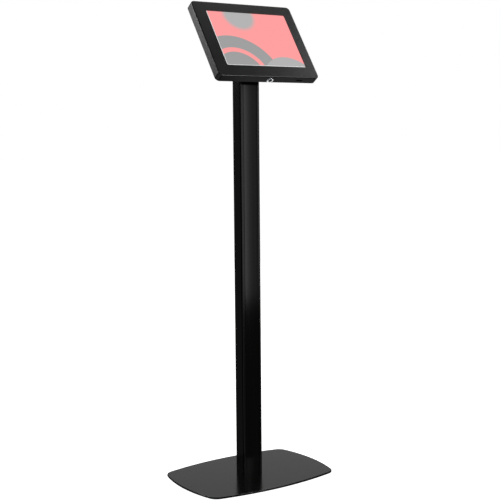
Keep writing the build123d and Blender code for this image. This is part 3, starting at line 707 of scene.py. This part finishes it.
def on_groove(distance):
    """Whether a distance from the foot's middle lies on its grip groove."""
    outer = foot_r - foot_rim_r - foot_rim_w
    return outer - foot_groove_w < distance < outer


# Welds

ripple_share = 0.42
ripple_flat_share = 0.55
ripple_reach_share = 0.2


def weld_bead(name, length, width):
    """A fillet weld along Y: overlapping ripples, as each pool of steel set."""
    step = ripple_share * width
    count = int(length / step)
    bpy.ops.object.select_all(action="DESELECT")
    bpy.ops.mesh.primitive_uv_sphere_add(
        segments=16, ring_count=10, radius=width / 2, scale=(1, ripple_flat_share, 1),
        location=(0, -step * (count - 1) / 2, 0),
    )
    bead = begin(name)
    pick_faces(bead, lambda middle, normal: normal.y > 0.6)
    bpy.ops.mesh.extrude_region_move(TRANSFORM_OT_translate={"value": (0, ripple_reach_share * step, 0)})
    apply_modifier(
        bead, "ARRAY", count=count, use_relative_offset=False, use_constant_offset=True,
        constant_offset_displace=(0, step, 0),
    )
    apply_modifier(bead, "REMESH", mode="VOXEL", voxel_size=weld_grain)
    apply_modifier(bead, "SMOOTH", factor=0.5, iterations=2)
    return bead


def make_clevis_welds():
    """The beads at the foot of the clevis's two ears, inside and outside."""
    bead = weld_bead("clevis_welds", ear_foot_d - 2 * weld_end_gap, weld_w)
    places = [
        Matrix.Translation((side * x, pivot_y, clevis_top + weld_sink))
        for side in (-1, 1) for x in (ear_inner - weld_sink, ear_outer + weld_sink)
    ]
    settle(bead, places, housing_coat, "stand")


def make_lug_welds():
    """The beads where the tilting plate's lugs leave the plate."""
    bead = weld_bead("lug_welds", lug_root_h - 2 * weld_end_gap, weld_w)
    places = [
        head_place @ Matrix.Translation((side * x, 0, tilt_plate_back - weld_sink))
        for side in (-1, 1) for x in (lug_inner - weld_sink, lug_outer + weld_sink)
    ]
    settle(bead, places, housing_coat, "tilt_arm")


# Nylon rings of the two locking nuts

def nut_ring(name):
    """A nylon ring in a locking nut's collar, standing on z = 0, with a rounded lip at the bolt."""
    bpy.ops.object.select_all(action="DESELECT")
    bpy.ops.mesh.primitive_torus_add(
        major_segments=40, minor_segments=10, major_radius=nut_ring_r, minor_radius=nut_ring_thick / 2,
    )
    ring = begin(name)
    pick_faces(ring, lambda middle, normal: middle.z < 0)
    bpy.ops.mesh.delete(type="FACE")
    pick_edges(ring, level_with(0))
    bpy.ops.mesh.extrude_edges_move(TRANSFORM_OT_translate={"value": (0, 0, -nut_ring_thick / 2)})
    bpy.ops.mesh.select_mode(type="EDGE")
    bpy.ops.mesh.select_all(action="DESELECT")
    bpy.ops.mesh.select_non_manifold()
    bpy.ops.mesh.bridge_edge_loops()
    bpy.ops.mesh.select_all(action="SELECT")
    bpy.ops.mesh.normals_make_consistent(inside=False)
    return ring


def make_nut_rings():
    """The rings at the ends of the pivot nut and the swivel nut."""
    outwards = Matrix.Rotation(-math.pi / 2, 4, "Y")
    pivot_end = Matrix.Translation((-pivot_nut_end, pivot_y, pivot_z)) @ outwards
    settle(nut_ring("pivot_nut_ring"), [pivot_end], nylon, "tilt_arm")
    swivel_end = head_place @ Matrix.Translation((0, 0, -swivel_nut_end)) @ turned_over
    settle(nut_ring("swivel_nut_ring"), [swivel_end], nylon, "head")


# Lock

def make_lock_bezel():
    """The lock's polished bezel: a rounded ring round the plug, on the barrel's face."""
    bpy.ops.object.select_all(action="DESELECT")
    bpy.ops.mesh.primitive_cylinder_add(
        vertices=48, radius=bezel_r, depth=bezel_t, location=(0, 0, bezel_t / 2)
    )
    bezel = begin("lock_bezel")
    pick_faces(bezel, lambda middle, normal: abs(normal.z) > 0.9)
    bpy.ops.mesh.inset(thickness=bezel_r - bezel_bore_r)
    pick_faces(bezel, lambda middle, normal: abs(normal.z) > 0.9 and middle.xy.length < bezel_bore_r / 2)
    bpy.ops.mesh.bridge_edge_loops()
    for rim_r, rounding in ((bezel_r, bezel_dome), (bezel_bore_r, bezel_lip)):
        pick_edges(bezel, level_ring(bezel_t, rim_r))
        bpy.ops.mesh.bevel(offset=rounding, segments=6, profile=0.5, affect="EDGES")
    settle(bezel, [lock_face_place], chrome, "frame")


make_bracket_screws()
make_plate_screws()
make_feet()
make_clevis_welds()
make_lug_welds()
make_nut_rings()
make_lock_bezel()


# Studio

floor_size = 60.0

# The room that the object sees: its even dimness, and two glows from below, each with its direction,
# how near to that direction it starts, and how much light it adds at its middle
room_light = 0.04
behind_glow = (30, -58)
behind_start_share = 0.80
behind_light = 0.24
left_glow = (180, -48)
left_start_share = 0.64
left_light = 0.45

# Watts for each square metre of a soft box at a brightness of 1
box_watts = 4.0

# The photograph's camera, fitted to the straight edges in it: degrees, metres, and millimetres for the lens
camera_place = (-1.36014, -2.02201, 0.80499)
camera_turn = -34.05
camera_dip = 6.29
camera_roll = -0.51
camera_lens = 75.864
camera_film_w = 36.0
camera_reach = 100.0


def pale_floor():
    """A white studio floor that shows from above and not from below, and stays out of the reflections."""
    bpy.ops.mesh.primitive_plane_add(size=floor_size, location=(0, 0, 0))
    floor = bpy.context.object
    floor.name = "studio_floor"
    material, tree, shader, _ = new_material("pale_floor", {
        "Roughness": 0.9, "Base Color": linear("#F2F2F2"), "Emission Color": linear("#FFFFFF"),
        "Emission Strength": 1.0, "Specular IOR Level": 0.0,
    })
    clear = add(tree, "ShaderNodeBsdfTransparent", {}, {})
    seen_from = add(tree, "ShaderNodeNewGeometry", {}, {})
    both = add(tree, "ShaderNodeMixShader", {}, {
        0: seen_from.outputs["Backfacing"], 1: shader.outputs[0], 2: clear.outputs[0],
    })
    output = next(node for node in tree.nodes if node.type == "OUTPUT_MATERIAL")
    tree.links.new(both.outputs[0], output.inputs["Surface"])
    floor.data.materials.append(material)
    floor.visible_glossy = False
    floor.visible_diffuse = False


def sky(around, up):
    """A direction by its angle round from the +X side and its height above the floor."""
    turn, rise = math.radians(around), math.radians(up)
    return Vector((math.cos(rise) * math.cos(turn), math.cos(rise) * math.sin(turn), math.sin(rise)))


def studio_world():
    """White behind the object, which itself sees a dim room that glows low behind and low on its left."""
    world = bpy.data.worlds.new("studio")
    bpy.context.scene.world = world
    world.use_nodes = True
    tree = world.node_tree
    tree.nodes.clear()
    direction = add(tree, "ShaderNodeTexCoord", {}, {}).outputs["Generated"]
    light = room_light
    for towards, start_share, added in (
        (behind_glow, behind_start_share, behind_light), (left_glow, left_start_share, left_light),
    ):
        nearness = add(tree, "ShaderNodeVectorMath", {"operation": "DOT_PRODUCT"}, {
            0: direction, 1: sky(*towards),
        }).outputs["Value"]
        glow = add(tree, "ShaderNodeMapRange", {}, {
            "Value": nearness, "From Min": start_share, "From Max": 1.0, "To Min": 0.0, "To Max": added,
        })
        light = add(tree, "ShaderNodeMath", {"operation": "ADD"}, {0: light, 1: glow.outputs[0]}).outputs[0]
    room = add(tree, "ShaderNodeBackground", {}, {"Strength": light, "Color": linear("#FFFFFF")})
    white = add(tree, "ShaderNodeBackground", {}, {"Strength": 1.0, "Color": linear("#FFFFFF")})
    ray = add(tree, "ShaderNodeLightPath", {}, {})
    both = add(tree, "ShaderNodeMixShader", {}, {
        0: ray.outputs["Is Camera Ray"], 1: room.outputs[0], 2: white.outputs[0],
    })
    add(tree, "ShaderNodeOutputWorld", {}, {"Surface": both.outputs[0]})


def softbox(name, target, direction, distance, width, height, brightness):
    """A soft light of even brightness that faces a target from a direction."""
    light = bpy.data.lights.new(name, "AREA")
    light.shape = "RECTANGLE"
    light.size = width
    light.size_y = height
    light.energy = box_watts * width * height * brightness
    box = bpy.data.objects.new(name, light)
    bpy.context.collection.objects.link(box)
    turn = direction.to_track_quat("Z", "Y").to_matrix().to_4x4()
    box.matrix_world = Matrix.Translation(Vector(target) + distance * direction) @ turn
    box.visible_camera = False
    return box


def light_front():
    """A wide soft box before the kiosk, and four narrow ones for the front panel."""
    middle = (0, 0, 1.05)
    panel = (0, 0, 0.51)
    softbox("front_box", middle, sky(-91.5, 0), distance=2.4, width=1.55, height=2.1, brightness=0.5)
    # one left edge for all four, so that the light on the panel fades to the right
    softbox("panel_box_1", panel, sky(-57, 0), distance=3.3, width=0.92, height=1.22, brightness=0.19)
    softbox("panel_box_2", panel, sky(-60, 0), distance=3.3, width=0.58, height=1.22, brightness=0.08)
    softbox("panel_box_3", panel, sky(-62, 0), distance=3.3, width=0.35, height=1.22, brightness=0.15)
    softbox("panel_box_4", panel, sky(-63, 0), distance=3.3, width=0.23, height=1.22, brightness=0.35)


def light_housing():
    """Boxes over the user's right shoulder for the housing's face, and at chest height for its bend."""
    bend = (0, 0, 1.0)
    right_of_bend = (0.6, 0.3, 1.0)
    behind_bend = (-0.2, 0.4, 1.0)
    softbox("bend_box", bend, sky(-57.5, 17), distance=2.2, width=1.07, height=0.72, brightness=3.1)
    softbox("bend_left_box", bend, sky(-65, 17), distance=2.2, width=0.40, height=0.72, brightness=12.0)
    softbox("key_box", right_of_bend, sky(-20.5, 53), distance=1.2, width=0.90, height=0.30, brightness=3.3)
    softbox("top_box", behind_bend, sky(-20.5, 53), distance=1.2, width=0.50, height=0.50, brightness=1.0)


def light_left():
    """Boxes behind on the left: a low and a high one for the housing's side, and a wide dim one."""
    low = (0, 0, 1.35)
    upper = (0, 0, 1.72)
    high = (0, 0, 2.18)
    softbox("left_low_box", low, sky(136, 0), distance=2.6, width=0.55, height=0.30, brightness=9.5)
    softbox("left_high_box", high, sky(136, 0), distance=2.6, width=0.55, height=0.85, brightness=18.0)
    softbox("left_side_box", upper, sky(118, 0), distance=2.6, width=1.10, height=0.75, brightness=0.8)


def light_foot_plate():
    """A dim box above the camera, and three wide bands of light behind that the foot plate mirrors."""
    foot = (0, 0, 0)
    softbox("near_box", foot, sky(-124, 13), distance=4.2, width=3.6, height=0.9, brightness=0.25)
    softbox("back_low_box", foot, sky(56, 8), distance=4.2, width=5.0, height=0.5, brightness=0.5)
    softbox("back_box", foot, sky(56, 17.5), distance=4.2, width=5.0, height=0.9, brightness=0.27)
    softbox("back_high_box", foot, sky(56, 25), distance=4.2, width=5.0, height=0.5, brightness=0.14)


def light_lock():
    """Two bright cards that light the lock's metal alone."""
    lock = (0, -0.1, 0.94)
    lock_metal = bpy.data.collections.new("lock_metal")
    for name in ("lock_barrel", "lock_plug", "lock_bezel"):
        lock_metal.objects.link(bpy.data.objects[name])
    for card in (
        softbox("lock_card", lock, sky(26, -27), distance=1.5, width=0.75, height=0.60, brightness=8.0),
        softbox("floor_card", lock, sky(74, -52), distance=1.15, width=0.70, height=0.70, brightness=6.0),
    ):
        card.light_linking.receiver_collection = lock_metal


def photograph_camera():
    """A short telephoto at chest height, on the user's left, turned to the kiosk."""
    camera = bpy.data.cameras.new("camera")
    camera.lens = camera_lens
    camera.sensor_width = camera_film_w
    camera.clip_end = camera_reach
    holder = bpy.data.objects.new("camera", camera)
    bpy.context.collection.objects.link(holder)
    holder.matrix_world = (
        Matrix.Translation(camera_place)
        @ Matrix.Rotation(math.radians(camera_turn), 4, "Z")
        @ Matrix.Rotation(math.radians(90 - camera_dip), 4, "X")
        @ Matrix.Rotation(math.radians(camera_roll), 4, "Z")
    )
    bpy.context.scene.camera = holder


pale_floor()
studio_world()
light_front()
light_housing()
light_left()
light_foot_plate()
light_lock()
photograph_camera()
bpy.context.scene.view_settings.view_transform = "Standard"
